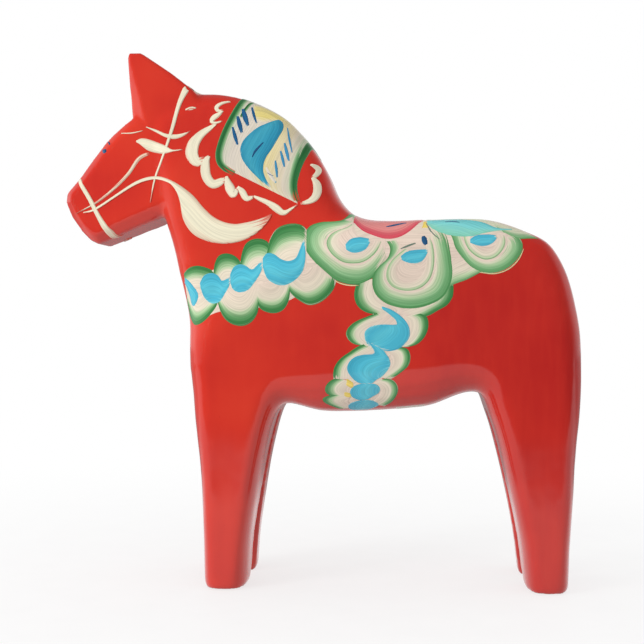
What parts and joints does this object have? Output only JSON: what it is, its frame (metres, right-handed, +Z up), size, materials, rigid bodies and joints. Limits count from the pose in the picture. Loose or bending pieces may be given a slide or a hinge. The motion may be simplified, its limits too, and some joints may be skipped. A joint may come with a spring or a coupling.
{
  "type": "carved wooden horse",
  "caption": "Carved and painted wooden horse standing on straight legs, with an upright neck, pricked ears and painted bridle, saddle and mane.",
  "frame": {"origin": "on the sole plane, under the middle of the horse's box", "axes": "+Z up, head towards -X, the horse's left side faces -Y"},
  "size_m": [0.1958, 0.0576, 0.2013],
  "materials": {
    "pine": "bare sawn pine on the soles",
    "red_paint": "glossy varnished red paint",
    "cream_paint": "varnished brush strokes",
    "green_white_paint": "strokes that run from green outside to white inside, varnished",
    "pale_mane_paint": "thin off-white wash, varnished",
    "blue_paint": "varnished brush strokes",
    "dark_blue_paint": "varnished brush strokes",
    "rose_paint": "varnished brush strokes",
    "turquoise_paint": "varnished brush strokes",
    "label_paper": "plain white label"
  },
  "bodies": {
    "root": {"belly_label": "label_paper", "left_breast_garland": "green_white_paint", "left_breast_wave": "blue_paint", "left_brow_stroke": "cream_paint", "left_cheek_line": "cream_paint", "left_eye_stroke": "cream_paint", "left_forehead_marks": "dark_blue_paint", "left_forelock_line": "cream_paint", "left_front_petal": "green_white_paint", "left_front_petal_spot": "blue_paint", "left_girth_scallops": "green_white_paint", "left_girth_wave": "blue_paint", "left_headstall": "cream_paint", "left_mane_drop": "blue_paint", "left_mane_front_border": "green_white_paint", "left_mane_front_dashes": "dark_blue_paint", "left_mane_hook": "cream_paint", "left_mane_rear_border": "green_white_paint", "left_mane_rear_dashes": "dark_blue_paint", "left_mane_wave": "cream_paint", "left_middle_petal": "green_white_paint", "left_middle_petal_spot": "blue_paint", "left_rear_leaf": "green_white_paint", "left_rear_petal": "green_white_paint", "left_rear_petal_spot": "blue_paint", "left_rein": "cream_paint", "left_turquoise_leaf": "turquoise_paint", "mane_panel": "pale_mane_paint", "noseband": "cream_paint", "pine_body": "pine", "red_coat": "red_paint", "right_breast_garland": "green_white_paint", "right_breast_wave": "blue_paint", "right_brow_stroke": "cream_paint", "right_cheek_line": "cream_paint", "right_eye_stroke": "cream_paint", "right_forehead_marks": "dark_blue_paint", "right_forelock_line": "cream_paint", "right_front_petal": "green_white_paint", "right_front_petal_spot": "blue_paint", "right_girth_scallops": "green_white_paint", "right_girth_wave": "blue_paint", "right_headstall": "cream_paint", "right_mane_drop": "blue_paint", "right_mane_front_border": "green_white_paint", "right_mane_front_dashes": "dark_blue_paint", "right_mane_hook": "cream_paint", "right_mane_rear_border": "green_white_paint", "right_mane_rear_dashes": "dark_blue_paint", "right_mane_wave": "cream_paint", "right_middle_petal": "green_white_paint", "right_middle_petal_spot": "blue_paint", "right_rear_leaf": "green_white_paint", "right_rear_petal": "green_white_paint", "right_rear_petal_spot": "blue_paint", "right_rein": "cream_paint", "right_turquoise_leaf": "turquoise_paint", "saddle_rose": "rose_paint"}
  },
  "joints": []
}
